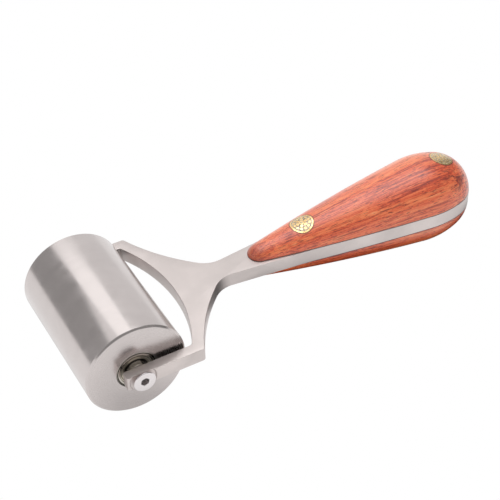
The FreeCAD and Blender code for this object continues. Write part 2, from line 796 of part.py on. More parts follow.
def inner_ring(name):
    chamfer = "Size.bearing_chamfer"
    body = turned(
        name,
        [
            (f"{AXLE_RADIUS} + {chamfer}", f"-{HALF_WIDTH}"),
            (INNER_LAND, f"-{HALF_WIDTH}"),
            (INNER_LAND, HALF_WIDTH),
            (f"{AXLE_RADIUS} + {chamfer}", HALF_WIDTH),
            (AXLE_RADIUS, f"{HALF_WIDTH} - {chamfer}"),
            (AXLE_RADIUS, f"-({HALF_WIDTH} - {chamfer})"),
        ],
    )
    raceway(body)
    return body


def shield(name):
    """A dished sheet washer; its outer face is at local y = 0 and the dish points to +Y."""
    sheet = "Size.shield_thickness"
    dish = "Size.shield_dish"
    flange = f"({SHIELD_RADIUS} - Size.shield_flange_width)"
    top = f"({flange} - Size.shield_slope_width)"
    bore = f"({INNER_LAND} + Size.shield_gap)"
    return turned(
        name,
        [
            (SHIELD_RADIUS, None),
            (flange, None),
            (top, dish),
            (bore, dish),
            (bore, f"{dish} + {sheet}"),
            (top, f"{dish} + {sheet}"),
            (flange, sheet),
            (SHIELD_RADIUS, sheet),
        ],
    )


def cage(name):
    """A ring on the ball circle with one round pocket for each ball."""
    pocket_radius = "(Size.ball_diameter / 2 + Size.cage_pocket_clearance)"
    inside = f"{PITCH_RADIUS} - Size.cage_wall / 2"
    outside = f"{PITCH_RADIUS} + Size.cage_wall / 2"
    body = plain_ring(name, inside, outside, f"({pocket_radius} + Size.cage_rim)")
    doc.recompute()
    before = body.Shape.Volume
    pocket_sketch = new_sketch(body, "XY_Plane")
    circle(pocket_sketch, None, None, pocket_radius)
    pocket = feature(body, "Pocket", pocket_sketch, Type="ThroughAll", Reversed=True)
    require_cut(body, before, "the first cage pocket")
    pattern = body.newObject("PartDesign::PolarPattern", name + "_pattern")
    pattern.Originals = [pocket]
    pattern.Axis = (origin_feature(body, "Y_Axis"), [""])
    pattern.Angle = 360.0
    pattern.setExpression("Occurrences", "Size.ball_count")
    body.Tip = pattern
    return body


def balls(name, y):
    """One ball in each cage pocket, as separate solids of one group."""
    count = int(value("Size.ball_count"))
    spheres = []
    for index in range(count):
        sphere = doc.addObject("Part::Sphere", f"{name}_{index}")
        sphere.setExpression("Radius", "Size.ball_diameter / 2")
        angle = f"({index} * 360 deg / Size.ball_count)"
        x = f"{PITCH_RADIUS} * sin({angle})"
        z = f"{AXLE_HEIGHT} + {PITCH_RADIUS} * cos({angle})"
        spheres.append(place(sphere, x, y, z))
    return gather("Compound", name + "_group", spheres)


def bearing(side_name, y):
    """One shielded ball bearing with its middle at y."""
    node(place(outer_ring(f"{side_name}_outer_ring"), y=y), f"{side_name}_outer_ring")
    node(place(inner_ring(f"{side_name}_inner_ring"), y=y), f"{side_name}_inner_ring")
    node(place(cage(f"{side_name}_cage"), y=y), f"{side_name}_cage")
    node(balls(f"{side_name}_balls", y), f"{side_name}_balls")
    reach = f"({HALF_WIDTH} - Size.shield_recess)"
    half_turn = Rotation(Vector(0, 0, 1), 180)
    for face, sign, turn in (("left", "-", None), ("right", "+", half_turn)):
        name = f"{side_name}_bearing_{face}_shield"
        node(place(shield(name), y=f"{y} {sign} {reach}", turn=turn), name)


# --- The whole tool ------------------------------------------------------------------

node(fork_tang(), "fork_tang")
handle()
node(axle_screw(), "axle_screw")
clamped_sleeves()
node(roller(), "roller")
bearing("left", f"-{BEARING_Y}")
bearing("right", BEARING_Y)
doc.recompute()

for item in doc.Objects:
    if "Invalid" in item.State or "Error" in item.State:
        raise RuntimeError(f"{item.Name} failed: {item.State}")
    if item.TypeId == "Sketcher::SketchObject" and not item.FullyConstrained:
        raise RuntimeError(f"{item.Name} is not fully constrained")

os.makedirs("parts", exist_ok=True)
for piece in NODES:
    shape = piece.Shape
    if shape.isNull() or not shape.isValid():
        raise RuntimeError(f"{piece.Label} has no valid shape")
    shape.exportStep(f"parts/{piece.Label}.step")
    print(f"{piece.Label}: {len(shape.Solids)} solids, {shape.Volume:.1f} mm3")
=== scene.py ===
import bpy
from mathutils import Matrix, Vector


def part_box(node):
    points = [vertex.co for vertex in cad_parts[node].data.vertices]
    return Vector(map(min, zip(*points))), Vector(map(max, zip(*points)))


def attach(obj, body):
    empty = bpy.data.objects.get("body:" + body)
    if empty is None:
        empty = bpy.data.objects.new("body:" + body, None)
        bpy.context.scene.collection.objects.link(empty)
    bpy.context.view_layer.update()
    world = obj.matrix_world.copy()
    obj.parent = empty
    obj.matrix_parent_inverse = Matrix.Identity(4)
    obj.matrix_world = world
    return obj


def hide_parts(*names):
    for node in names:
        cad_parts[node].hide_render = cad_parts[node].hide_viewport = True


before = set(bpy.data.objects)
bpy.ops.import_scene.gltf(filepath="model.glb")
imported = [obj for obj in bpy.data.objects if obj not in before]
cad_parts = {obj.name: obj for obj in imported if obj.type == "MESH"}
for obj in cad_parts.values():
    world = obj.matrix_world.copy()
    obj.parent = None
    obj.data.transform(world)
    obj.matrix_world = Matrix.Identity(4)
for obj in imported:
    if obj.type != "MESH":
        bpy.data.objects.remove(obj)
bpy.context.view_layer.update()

import math

import bmesh
import bpy
import numpy as np
from mathutils import Quaternion, Vector

# Seam roller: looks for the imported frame. Metres, +X along the handle to its butt, the
# axle parallel to Y with the screw's head at -Y, +Z up. "left" is -Y and "right" is +Y.

MM = 0.001


# --- Places read from the frame --------------------------------------------------------


def span(node, axis):
    """The lowest and highest coordinate of a CAD node along one axis."""
    low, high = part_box(node)
    return low[axis], high[axis]


X, Y, Z = 0, 1, 2
TIP_OF_ARMS, BUTT_X = span("fork_tang", X)
ARM_OUTER = span("fork_tang", Y)[1]
PLATE_LOW, PLATE_HIGH = span("fork_tang", Z)
AXLE_Z = (PLATE_LOW + PLATE_HIGH) / 2
ROLLER_RADIUS = span("roller", X)[1]
ROLLER_HALF = span("roller", Y)[1]
HEAD_FACE, SCREW_END = span("axle_screw", Y)
HEAD_RADIUS = span("axle_screw", X)[1]
BEARING_WIDTH = span("left_outer_ring", Y)[1] - span("left_outer_ring", Y)[0]
BEARING_Y = sum(span("right_outer_ring", Y)) / 2
BEARING_RADIUS = span("left_outer_ring", X)[1]
INNER_LAND = span("left_inner_ring", X)[1]
PIN_RADIUS = (span("front_pin_tube", X)[1] - span("front_pin_tube", X)[0]) / 2
FRONT_PIN_X = sum(span("front_pin_tube", X)) / 2
REAR_PIN_X = sum(span("rear_pin_tube", X)) / 2

# --- Sizes of the detail that the frame's boxes don't give ------------------------------

ARM_WIDTH = 4.3 * MM
ARM_TIP_ROUND = 0.8 * MM
PLATE_EDGE_ROUND = 0.25 * MM
TANG_EDGE_ROUND = 0.06 * MM
EDGE_FADE = 15.0 * MM
CRESCENT_GAP = 10.0 * MM
CRESCENT_RISE = 8.09 * MM
CRESCENT_CORNER = 1.5 * MM
SHOULDER_OFFSET = 5.25 * MM
SHOULDER_ROUND = 1.5 * MM
SWEEP_RADIUS = 84.6 * MM
NECK_OFFSET = 32.2 * MM
NECK_HALF_WIDTH = 4.83 * MM
NECK_RADIUS = 10.5 * MM
SCALE_SETBACK = 11.2 * MM
FLUSH_START = 25.0 * MM
NOSE_RADIUS = 5.2 * MM
FLANK_RADIUS = 950.0 * MM
BELLY_RADIUS = 37.0 * MM
BELLY_HALF_WIDTH = 16.6 * MM
BUTT_RADIUS = 15.5 * MM
CROWN_DROP = 1.0 * MM
JOINT_ROUND = 0.28 * MM
PIN_HOLE_CLEARANCE = 0.05 * MM
SPOTFACE_RADIUS = HEAD_RADIUS + 0.65 * MM
SPOTFACE_DEPTH = 0.5 * MM
AXLE_HOLE_RADIUS = 2.65 * MM
SCREW_SEAT_WIDTH = 0.15 * MM
AXLE_RADIUS = 2.5 * MM
SHANK_RADIUS = 2.49 * MM
HEAD_LAND = 0.45 * MM
HEAD_CHAMFER = 0.2 * MM
SOCKET_APOTHEM = 1.5 * MM
SOCKET_DEPTH = 2.0 * MM
SOCKET_TURN = math.radians(15)
THREAD_PITCH = 0.8 * MM
THREAD_DEPTH = 0.3 * MM
THREAD_LENGTH = 5.0 * MM
ROLLER_CHAMFER = 0.7 * MM
SEAT_RADIUS = BEARING_RADIUS + 0.02 * MM
BEARING_SHOULDER = 1.5 * MM
PITCH_RADIUS = (AXLE_RADIUS + BEARING_RADIUS) / 2
RACE_RADIUS = 1.429 * MM
OUTER_LAND = 2 * PITCH_RADIUS - INNER_LAND
SHIELD_RADIUS = OUTER_LAND + 0.4 * MM
SHIELD_RECESS = 0.2 * MM
SHIELD_THICKNESS = 0.25 * MM
SPACER_BORE = 2.6 * MM
SPACER_OUTER = 3.5 * MM

WELD = 1e-7
SMOOTH_ANGLE = math.radians(32)


# --- Curves in a plane -------------------------------------------------------------------


def arc(centre, start, end, steps):
    """The short way round a circle: the centre plus the radius turned by an even angle."""
    centre, start, end = np.asarray(centre), np.asarray(start), np.asarray(end)
    first = math.atan2(*(start - centre)[::-1])
    last = math.atan2(*(end - centre)[::-1])
    turn = (last - first + math.pi) % (2 * math.pi) - math.pi
    angle = first + turn * np.linspace(0, 1, steps)
    return centre + np.hypot(*(start - centre)) * np.stack([np.cos(angle), np.sin(angle)], 1)


def meeting(first, first_reach, second, second_reach):
    """The point at two given distances from two centres, on the right of the line between."""
    line = second - first
    length = np.hypot(*line)
    ahead = line / length
    along = (first_reach**2 - second_reach**2 + length**2) / (2 * length)
    across = math.sqrt(first_reach**2 - along**2)
    return first + ahead * along + np.array([ahead[1], -ahead[0]]) * across


def touch(outer, radius, inner):
    """Where a circle touches another that lies on the line through both centres."""
    away = inner - outer
    return outer + away / np.hypot(*away) * radius


def rounded(corners, steps=6):
    """A closed outline: each corner (x, y, radius) becomes an arc that touches both sides."""
    corners = np.asarray(corners, float)
    here, radius = corners[:, :2], corners[:, 2]
    back, ahead = np.roll(here, 1, axis=0) - here, np.roll(here, -1, axis=0) - here
    back /= np.hypot(*back.T)[:, None]
    ahead /= np.hypot(*ahead.T)[:, None]
    half = np.arccos(np.clip((back * ahead).sum(1), -1, 1)) / 2
    inward = back + ahead
    inward /= np.hypot(*inward.T)[:, None]
    centre = here + inward * (radius / np.sin(half))[:, None]
    reach = (radius / np.tan(half))[:, None]
    arcs = [
        arc(middle, start, end, steps) if size > 0 else corner[None]
        for middle, start, end, size, corner in zip(
            centre, here + back * reach, here + ahead * reach, radius, here
        )
    ]
    return np.concatenate(arcs)


# --- Meshes from grids of points ----------------------------------------------------------


def quads(rows, columns, loop_rows=False, loop_columns=False):
    """Faces between neighbouring points of a grid; a looped way joins its last line to its first."""
    row = np.arange(rows if loop_rows else rows - 1)[:, None]
    column = np.arange(columns if loop_columns else columns - 1)[None]
    next_row, next_column = (row + 1) % rows, (column + 1) % columns
    corners = [
        row * columns + column,
        next_row * columns + column,
        next_row * columns + next_column,
        row * columns + next_column,
    ]
    return np.stack(np.broadcast_arrays(*corners), -1).reshape(-1, 4)


def mesh_of(name, points, faces, flats=()):
    """A closed mesh: doubles merged, faces outwards, smooth but for the flats."""
    mesh = bpy.data.meshes.new(name)
    mesh.from_pydata(np.reshape(points, (-1, 3)).tolist(), [], faces.tolist() + list(flats))
    smooth = np.ones(len(mesh.polygons), bool)
    smooth[len(faces):] = False
    mesh.polygons.foreach_set("use_smooth", smooth)
    work = bmesh.new()
    work.from_mesh(mesh)
    bmesh.ops.remove_doubles(work, verts=work.verts, dist=WELD)
    bmesh.ops.dissolve_degenerate(work, edges=work.edges, dist=WELD)
    bmesh.ops.recalc_face_normals(work, faces=work.faces)
    work.to_mesh(mesh)
    work.free()
    return mesh


def turned(name, profile, segments=192):
    """A profile of (place along the axle, radius) turned about the axle.

    A point at place a and radius r goes to x = r sin(t), y = a, z = axle height + r cos(t)
    as t runs once round.
    """
    turn = np.linspace(0, 2 * np.pi, segments, endpoint=False)
    along, radius = profile[:, :1], profile[:, 1:]
    points = [radius * np.sin(turn), along + 0 * turn, AXLE_Z + radius * np.cos(turn)]
    return mesh_of(name, np.stack(points, -1), quads(len(profile), segments, True, True))


def bored(mesh, cutters):
    """The mesh with closed cutter meshes taken out of it."""
    body = bpy.data.objects.new("blank", mesh)
    bpy.context.collection.objects.link(body)
    tools = []
    for cutter in cutters:
        tool = bpy.data.objects.new("cutter", cutter)
        bpy.context.collection.objects.link(tool)
        cut = body.modifiers.new("cut", "BOOLEAN")
        cut.operation, cut.solver, cut.object = "DIFFERENCE", "EXACT", tool
        tools.append(tool)
    evaluated = body.evaluated_get(bpy.context.evaluated_depsgraph_get())
    result = bpy.data.meshes.new_from_object(evaluated)
    for spent in [body, *tools]:
        bpy.data.objects.remove(spent)
    return result


def piece(name, mesh, body, slot, finish, *nodes):
    """Shows a finished mesh in place of CAD nodes, riding on their body."""
    mesh.name = name
    mesh.set_sharp_from_angle(angle=SMOOTH_ANGLE)
    mesh.materials.clear()
    mesh.materials.append(finish)
    shown = bpy.data.objects.new(name, mesh)
    bpy.context.collection.objects.link(shown)
    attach(shown, body)
    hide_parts(*nodes)
    return shown


def upright(x, radius, low, high, segments=96):
    """A plain closed cylinder on the handle's middle line, used as a cutter."""
    profile = np.array([(low, 0), (low, radius), (high, radius), (high, 0)])
    mesh = turned("drill", profile, segments)
    points = np.empty(len(mesh.vertices) * 3)
    mesh.vertices.foreach_get("co", points)
    points = points.reshape(-1, 3)
    stood = np.stack([x + points[:, 0], points[:, 2] - AXLE_Z, points[:, 1]], 1)
    mesh.vertices.foreach_set("co", stood.ravel())
    mesh.flip_normals()
    return mesh


# --- Outlines of the handle and the fork --------------------------------------------------

NECK_X = ROLLER_RADIUS + NECK_OFFSET
HANDLE_TIP = NECK_X + SCALE_SETBACK
FLUSH_X = HANDLE_TIP + FLUSH_START
NOSE = np.array([HANDLE_TIP + NOSE_RADIUS, 0.0])
BUTT = np.array([BUTT_X - BUTT_RADIUS, 0.0])
BELLY_SINK = BELLY_RADIUS - BELLY_HALF_WIDTH
BELLY_BACK = math.sqrt((BELLY_RADIUS - BUTT_RADIUS) ** 2 - BELLY_SINK**2)
BELLY = BUTT - np.array([BELLY_BACK, BELLY_SINK])
FLANK = meeting(NOSE, FLANK_RADIUS - NOSE_RADIUS, BELLY, FLANK_RADIUS - BELLY_RADIUS)
NOSE_JOINT = touch(FLANK, FLANK_RADIUS, NOSE)
BELLY_JOINT = touch(FLANK, FLANK_RADIUS, BELLY)
BUTT_JOINT = touch(BELLY, BELLY_RADIUS, BUTT)


def handle_profile():
    """Points (x, radius) of a scale's back and their outward normals, from nose to butt.

    Four arcs touch in turn: nose, flank, belly and butt. They start and end where the
    radius equals the drop of the scale's axis below the plate's face.
    """
    start = NOSE + np.array([-math.sqrt(NOSE_RADIUS**2 - CROWN_DROP**2), CROWN_DROP])
    end = BUTT + np.array([math.sqrt(BUTT_RADIUS**2 - CROWN_DROP**2), CROWN_DROP])
    arcs = [
        (NOSE, NOSE_RADIUS, start, NOSE_JOINT, 36),
        (FLANK, FLANK_RADIUS, NOSE_JOINT, BELLY_JOINT, 70),
        (BELLY, BELLY_RADIUS, BELLY_JOINT, BUTT_JOINT, 64),
        (BUTT, BUTT_RADIUS, BUTT_JOINT, end, 60),
    ]
    points = [arc(centre, first, last, steps)[:-1] for centre, _, first, last, steps in arcs]
    normals = [(line - a[0]) / a[1] for line, a in zip(points, arcs)]
    points.append(end[None])
    normals.append((end - BUTT)[None] / BUTT_RADIUS)
    return np.concatenate(points), np.concatenate(normals)


def fork_outline():
    """The plate in plan, once round: crescent, arm, shoulder, sweep, neck, taper and tang.

    Half of it is made with y >= 0, out of arcs and lines that touch, and the other half is
    its mirror image.
    """
    inner = ARM_OUTER - ARM_WIDTH
    apex = np.array([ROLLER_RADIUS + CRESCENT_GAP, 0.0])
    crescent_radius = inner**2 / (2 * CRESCENT_RISE) + CRESCENT_RISE / 2
    crescent = apex - np.array([crescent_radius, 0])
    corner_y = inner - CRESCENT_CORNER
    corner_reach = math.sqrt((crescent_radius - CRESCENT_CORNER) ** 2 - corner_y**2)
    corner = crescent + np.array([corner_reach, corner_y])
    corner_joint = touch(crescent, crescent_radius, corner)

    neck = np.array([NECK_X, NECK_HALF_WIDTH + NECK_RADIUS])
    shoulder_point = np.array([ROLLER_RADIUS + SHOULDER_OFFSET, ARM_OUTER])
    sweep = meeting(neck, SWEEP_RADIUS - NECK_RADIUS, shoulder_point, SWEEP_RADIUS)
    if sweep[1] < shoulder_point[1]:
        sweep = meeting(shoulder_point, SWEEP_RADIUS, neck, SWEEP_RADIUS - NECK_RADIUS)
    neck_joint = touch(sweep, SWEEP_RADIUS, neck)
    shoulder_y = ARM_OUTER - SHOULDER_ROUND
    shoulder_run = math.sqrt((SWEEP_RADIUS + SHOULDER_ROUND) ** 2 - (sweep[1] - shoulder_y) ** 2)
    shoulder = np.array([sweep[0] - shoulder_run, shoulder_y])
    shoulder_joint = touch(sweep, SWEEP_RADIUS, shoulder)

    drop = math.sqrt(FLANK_RADIUS**2 - (FLUSH_X - FLANK[0]) ** 2)
    flush = np.array([FLUSH_X, FLANK[1] + drop])
    run = flush - neck
    heading = math.atan2(run[1], run[0]) - math.acos(NECK_RADIUS / np.hypot(*run))
    taper = neck + NECK_RADIUS * np.array([math.cos(heading), math.sin(heading)])

    tip = TIP_OF_ARMS + ARM_TIP_ROUND
    near, far = inner + ARM_TIP_ROUND, ARM_OUTER - ARM_TIP_ROUND
    half = [
        arc(crescent, apex, corner_joint, 90),
        arc(corner, corner_joint, (corner[0], inner), 12),
        arc((tip, near), (tip, inner), (TIP_OF_ARMS, near), 10),
        arc((tip, far), (TIP_OF_ARMS, far), (tip, ARM_OUTER), 10),
        arc(shoulder, (shoulder[0], ARM_OUTER), shoulder_joint, 14),
        arc(sweep, shoulder_joint, neck_joint, 70),
        arc(neck, neck_joint, taper, 30),
        np.linspace(taper, flush, 24),
        arc(FLANK, flush, BELLY_JOINT, 40),
        arc(BELLY, BELLY_JOINT, BUTT_JOINT, 40),
        arc(BUTT, BUTT_JOINT, (BUTT_X, 0.0), 40),
    ]
    half = np.concatenate(half)
    step = np.hypot(*np.diff(half, axis=0, prepend=half[:1] - 1).T)
    half = half[step > WELD]
    return np.concatenate([half, half[-2:0:-1] * (1, -1)])


# --- The pieces ---------------------------------------------------------------------------


def fork_mesh():
    """The plate: an edge section carried round the outline, with a flat on each side.

    At each point of the outline the section starts inside the top face, turns through a
    quarter circle to the wall, drops to the mirror quarter and ends under the plate. The
    quarter's radius fades to almost nothing where the wood scales sit flush.
    """
    outline = fork_outline()
    along = np.roll(outline, -1, axis=0) - np.roll(outline, 1, axis=0)
    along /= np.hypot(*along.T)[:, None]
    before, after = outline, np.roll(outline, -1, axis=0)
    area = (before[:, 0] * after[:, 1] - before[:, 1] * after[:, 0]).sum()
    outward = np.stack([along[:, 1], -along[:, 0]], 1) * np.sign(area)
    fade = np.clip((NECK_X - outline[:, 0]) / EDGE_FADE, 0, 1)
    fade = fade * fade * (3 - 2 * fade)
    edge = TANG_EDGE_ROUND + (PLATE_EDGE_ROUND - TANG_EDGE_ROUND) * fade

    quarter = np.linspace(0, np.pi / 2, 8)[:, None]
    inset = edge * (1 - np.sin(quarter))
    sink = edge * (1 - np.cos(quarter))
    inset = np.concatenate([inset, inset[::-1]])
    height = np.concatenate([PLATE_HIGH - sink, (PLATE_LOW + sink)[::-1]])
    plan = outline[None] - outward[None] * inset[..., None]
    points = np.concatenate([plan, height[..., None]], -1)
    rows, columns = height.shape
    rim = list(range(columns))
    flats = [rim, [(rows - 1) * columns + n for n in rim]]
    return mesh_of("fork", points, quads(rows, columns, loop_columns=True), flats)


def axle_hole(places):
    """A closed cutter about the axle from (place along it, radius) pairs."""
    profile = np.array([(places[0][0], 0.0), *places, (places[-1][0], 0.0)])
    return turned("drill", profile, 96)


def pin_drills():
    """One upright cutter for each mosaic pin."""
    radius = PIN_RADIUS + PIN_HOLE_CLEARANCE
    reach = BELLY_HALF_WIDTH * 2
    return [upright(x, radius, AXLE_Z - reach, AXLE_Z + reach) for x in (FRONT_PIN_X, REAR_PIN_X)]


def fork_and_tang(finish):
    """The plate with its holes: a shallow sloped recess and a clearance hole for the screw
    in the left arm, the threaded hole in the right arm, and a hole for each pin."""
    inner, seat = ARM_OUTER - ARM_WIDTH, ARM_OUTER - SPOTFACE_DEPTH
    past = 1.0 * MM
    left = [
        (-ARM_OUTER - past, SPOTFACE_RADIUS + SPOTFACE_DEPTH + past),
        (-seat, SPOTFACE_RADIUS),
        (-seat, AXLE_HOLE_RADIUS + SCREW_SEAT_WIDTH),
        (SCREW_SEAT_WIDTH - seat, AXLE_HOLE_RADIUS),
        (past - inner, AXLE_HOLE_RADIUS),
    ]
    right = [(inner - past, AXLE_RADIUS), (ARM_OUTER + past, AXLE_RADIUS)]
    cutters = [axle_hole(left), axle_hole(right), *pin_drills()]
    mesh = bored(fork_mesh(), cutters)
    piece("fork_and_tang", mesh, "fork", "fork_steel", finish, "fork_tang")


def scale_mesh(side):
    """A crowned scale: closed sections stood along the handle's profile.

    A section is an arc of the profile's radius about an axis sunk in the plate, from one
    joint with the plate over the crown to the other, closed by a flat. The last stretch of
    height above the plate is drawn in along the level part of the surface's normal, by a
    quarter circle, so that the wood's edge is eased where it meets the steel.
    """
    profile, normal = handle_profile()
    radius = profile[:, 1:]
    crown = radius - CROWN_DROP
    ease = np.minimum(JOINT_ROUND, 0.6 * crown)
    quarter = np.linspace(0, np.pi / 2, 8)[None]
    height = ease * (1 - np.cos(quarter))
    inset = ease * (1 - np.sin(quarter))
    low = np.arccos(np.clip((CROWN_DROP + height) / radius, -1, 1))
    over = low[:, -1:] * np.linspace(1, -1, 96)[None, 1:-1]
    angle = np.concatenate([low, over, -low[:, ::-1]], 1)
    inset = np.concatenate([inset, 0 * over, inset[:, ::-1]], 1)

    level = np.stack([normal[:, :1] + 0 * angle, normal[:, 1:] * np.sin(angle)], -1)
    level /= np.maximum(np.linalg.norm(level, axis=-1, keepdims=True), 1e-9)
    x = profile[:, :1] - level[..., 0] * inset
    y = radius * np.sin(angle) - level[..., 1] * inset
    rise = radius * np.cos(angle) - CROWN_DROP
    across = np.linspace(0, 1, 14)[None, 1:-1]
    x = np.concatenate([x, x[:, -1:] + (x[:, :1] - x[:, -1:]) * across], 1)
    y = np.concatenate([y, y[:, -1:] + (y[:, :1] - y[:, -1:]) * across], 1)
    rise = np.concatenate([rise, 0 * across + 0 * rise[:, :1]], 1)
    face = PLATE_HIGH if side > 0 else PLATE_LOW
    points = np.stack([x, y, face + side * rise], -1)
    rows, columns = x.shape
    return mesh_of("scale", points, quads(rows, columns, loop_columns=True))


def handle_scales(finish):
    """The top scale and, upside down under the plate, the bottom scale."""
    for name, side in (("top_scale", 1), ("bottom_scale", -1)):
        mesh = bored(scale_mesh(side), pin_drills())
        piece(name + "_wood", mesh, "fork", "wood", finish, name)


def both_sides(half):
    """A profile's half with y >= 0, and its mirror image, as one closed outline."""
    half = np.asarray(half, float)
    return np.concatenate([half, half[::-1] * (-1, 1, 1)])


def roller_piece(finish):
    """A turned cylinder: bore, bearing seats, faces and bevelled rims, every edge broken."""
    shoulder = BEARING_Y - BEARING_WIDTH / 2
    break_edge = 0.12 * MM
    corners = both_sides(
        [
            (shoulder, BEARING_RADIUS - BEARING_SHOULDER, 0.2 * MM),
            (shoulder, SEAT_RADIUS, break_edge),
            (ROLLER_HALF, SEAT_RADIUS, 0.25 * MM),
            (ROLLER_HALF, ROLLER_RADIUS - ROLLER_CHAMFER, break_edge),
            (ROLLER_HALF - ROLLER_CHAMFER, ROLLER_RADIUS, break_edge),
        ]
    )
    mesh = turned("roller_body", rounded(corners), 288)
    piece("roller_body", mesh, "roller", "roller_steel", finish, "roller")


def race(land, bulge):
    """The ball groove in a ring: an arc about the ball circle, from edge to edge of the land."""
    half = math.sqrt(RACE_RADIUS**2 - (land - PITCH_RADIUS) ** 2)
    deepest = np.array([0, PITCH_RADIUS + bulge * RACE_RADIUS])
    first = arc((0, PITCH_RADIUS), (-half, land), deepest, 12)
    second = arc((0, PITCH_RADIUS), deepest, (half, land), 12)
    return np.concatenate([first, second[1:]])


def outer_ring_profile():
    """Outside with broken edges, a ledge for each shield, and the groove between the lands."""
    half, chamfer = BEARING_WIDTH / 2, 0.3 * MM
    ledge = half - SHIELD_RECESS - SHIELD_THICKNESS
    corners = both_sides(
        [
            (ledge, OUTER_LAND, 0),
            (ledge, SHIELD_RADIUS, 0),
            (half, SHIELD_RADIUS, 0.06 * MM),
            (half, BEARING_RADIUS, chamfer),
        ]
    )
    return np.concatenate([rounded(corners), race(OUTER_LAND, 1)])


def inner_ring_profile():
    """A bore with broken edges, flat faces, and the groove in the middle of its land."""
    half = BEARING_WIDTH / 2
    corners = [
        (half, INNER_LAND, 0.08 * MM),
        (half, AXLE_RADIUS, 0.3 * MM),
        (-half, AXLE_RADIUS, 0.3 * MM),
        (-half, INNER_LAND, 0.08 * MM),
    ]
    return np.concatenate([rounded(corners), race(INNER_LAND, -1)])


def shield_profile():
    """A pressed sheet washer: crimped rim, step, dished band and a lip at the bore."""
    lip = INNER_LAND + 0.25 * MM
    outside = np.array(
        [
            (0.0, SHIELD_RADIUS),
            (0.0, SHIELD_RADIUS - 0.28 * MM),
            (0.10 * MM, SHIELD_RADIUS - 0.42 * MM),
            (0.10 * MM, SHIELD_RADIUS - 0.72 * MM),
            (0.20 * MM, SHIELD_RADIUS - 1.0 * MM),
            (0.20 * MM, lip + 0.28 * MM),
            (0.12 * MM, lip),
        ]
    )
    inside = outside[::-1] + (SHIELD_THICKNESS, 0)
    corners = np.concatenate([outside, inside])
    radii = np.full(len(corners), 0.05 * MM)
    return rounded(np.column_stack([corners, radii]), 4)


def bearings(ring_finish, shield_finish):
    """Both bearings: the outer ring and shields turn with the roller, the inner ring doesn't."""
    half = BEARING_WIDTH / 2
    for side_name, middle in (("left", -BEARING_Y), ("right", BEARING_Y)):
        for ring, body, profile in (
            ("outer_ring", "roller", outer_ring_profile()),
            ("inner_ring", "fork", inner_ring_profile()),
        ):
            node = f"{side_name}_{ring}"
            mesh = turned(node, profile + (middle, 0), 144)
            piece(node + "_turned", mesh, body, "bearing_steel", ring_finish, node)
        for face_name, face in (("left", -1), ("right", 1)):
            node = f"{side_name}_bearing_{face_name}_shield"
            profile = shield_profile() * (-face, 1)
            place = middle + face * (half - SHIELD_RECESS)
            mesh = turned(node, profile + (place, 0), 144)
            piece(node + "_pressed", mesh, "roller", "shield_steel", shield_finish, node)


def spacers(finish):
    """Turned collars between the arms and the inner rings, with broken edges."""
    for side, node in ((-1, "left_spacer"), (1, "right_spacer")):
        low, high = span(node, Y)
        corners = [
            (low, SPACER_BORE, 0.08 * MM),
            (low, SPACER_OUTER, 0.15 * MM),
            (high, SPACER_OUTER, 0.15 * MM),
            (high, SPACER_BORE, 0.08 * MM),
        ]
        mesh = turned(node, rounded(corners), 96)
        piece(node + "_collar", mesh, "fork", "spacer_steel", finish, node)


def screw_mesh():
    """Head, shank and thread as one surface round the axle.

    Each ring of points has a place, a radius and a share of hexagon: its radius goes from
    a circle's to that of a hexagon of the socket's width, by that share. In the thread the
    radius drops by a rounded tooth that advances one pitch in each turn.
    """
    floor = HEAD_FACE + SOCKET_DEPTH
    land = HEAD_FACE + HEAD_LAND
    taper_end = land + HEAD_RADIUS - SHANK_RADIUS
    corner = SOCKET_APOTHEM / math.cos(math.pi / 6)
    mouth = 0.12 * MM
    socket = [
        (floor + 0.45 * MM, 0.0, 0),
        (floor, 0.85 * SOCKET_APOTHEM, 0),
        (floor, 1.0, 1),
        (HEAD_FACE + mouth, 1.0, 1),
        (HEAD_FACE + 0.4 * mouth, 1.02 * corner, 0),
        (HEAD_FACE, 1.06 * corner, 0),
    ]
    outside = rounded(
        [
            (HEAD_FACE, 0.0, 0),
            (HEAD_FACE, HEAD_RADIUS - HEAD_CHAMFER, 0.15 * MM),
            (HEAD_FACE + HEAD_CHAMFER, HEAD_RADIUS, 0.15 * MM),
            (land, HEAD_RADIUS, 0.08 * MM),
            (taper_end, SHANK_RADIUS, 0),
        ]
    )[1:]
    start = SCREW_END - THREAD_LENGTH
    shank = np.linspace(taper_end, start, 24)[1:]
    thread = np.linspace(start, SCREW_END - 0.6 * MM, 64)[1:]
    end = [(SCREW_END, SHANK_RADIUS - 0.6 * MM, 0), (SCREW_END, 0.0, 0)]
    plain = [(place, radius, 0) for place, radius in outside]
    straight = [(place, SHANK_RADIUS, 0) for place in np.concatenate([shank, thread])]
    rings = np.array(socket + plain + straight + end)

    turn = np.linspace(0, 2 * np.pi, 192, endpoint=False)
    place, radius, share = (rings[:, n : n + 1] for n in range(3))
    side = (turn - SOCKET_TURN) % (math.pi / 3) - math.pi / 6
    hexagon = SOCKET_APOTHEM / np.cos(side)
    radius = radius * (1 - share) + share * hexagon
    into = np.clip((place - start) / THREAD_PITCH, 0, 1) * (place < SCREW_END - 0.1 * MM)
    tooth = 0.5 - 0.5 * np.cos(2 * np.pi * place / THREAD_PITCH + turn)
    radius = radius - THREAD_DEPTH * into * tooth
    points = [radius * np.cos(turn), place + 0 * turn, AXLE_Z + radius * np.sin(turn)]
    faces = quads(len(rings), len(turn), loop_columns=True)
    return mesh_of("screw", np.stack(points, -1), faces)


# --- Finishes -----------------------------------------------------------------------------


def tone(red, green, blue):
    """A screen colour, 0 to 255, as the linear colour that a shader takes."""
    share = np.array([red, green, blue]) / 255
    linear = np.where(share <= 0.04045, share / 12.92, ((share + 0.055) / 1.055) ** 2.4)
    return (*linear.tolist(), 1.0)


def shaded(colour, amount):
    """A linear colour times an amount, no brighter than white."""
    return (*(min(1.0, channel * amount) for channel in colour[:3]), 1.0)


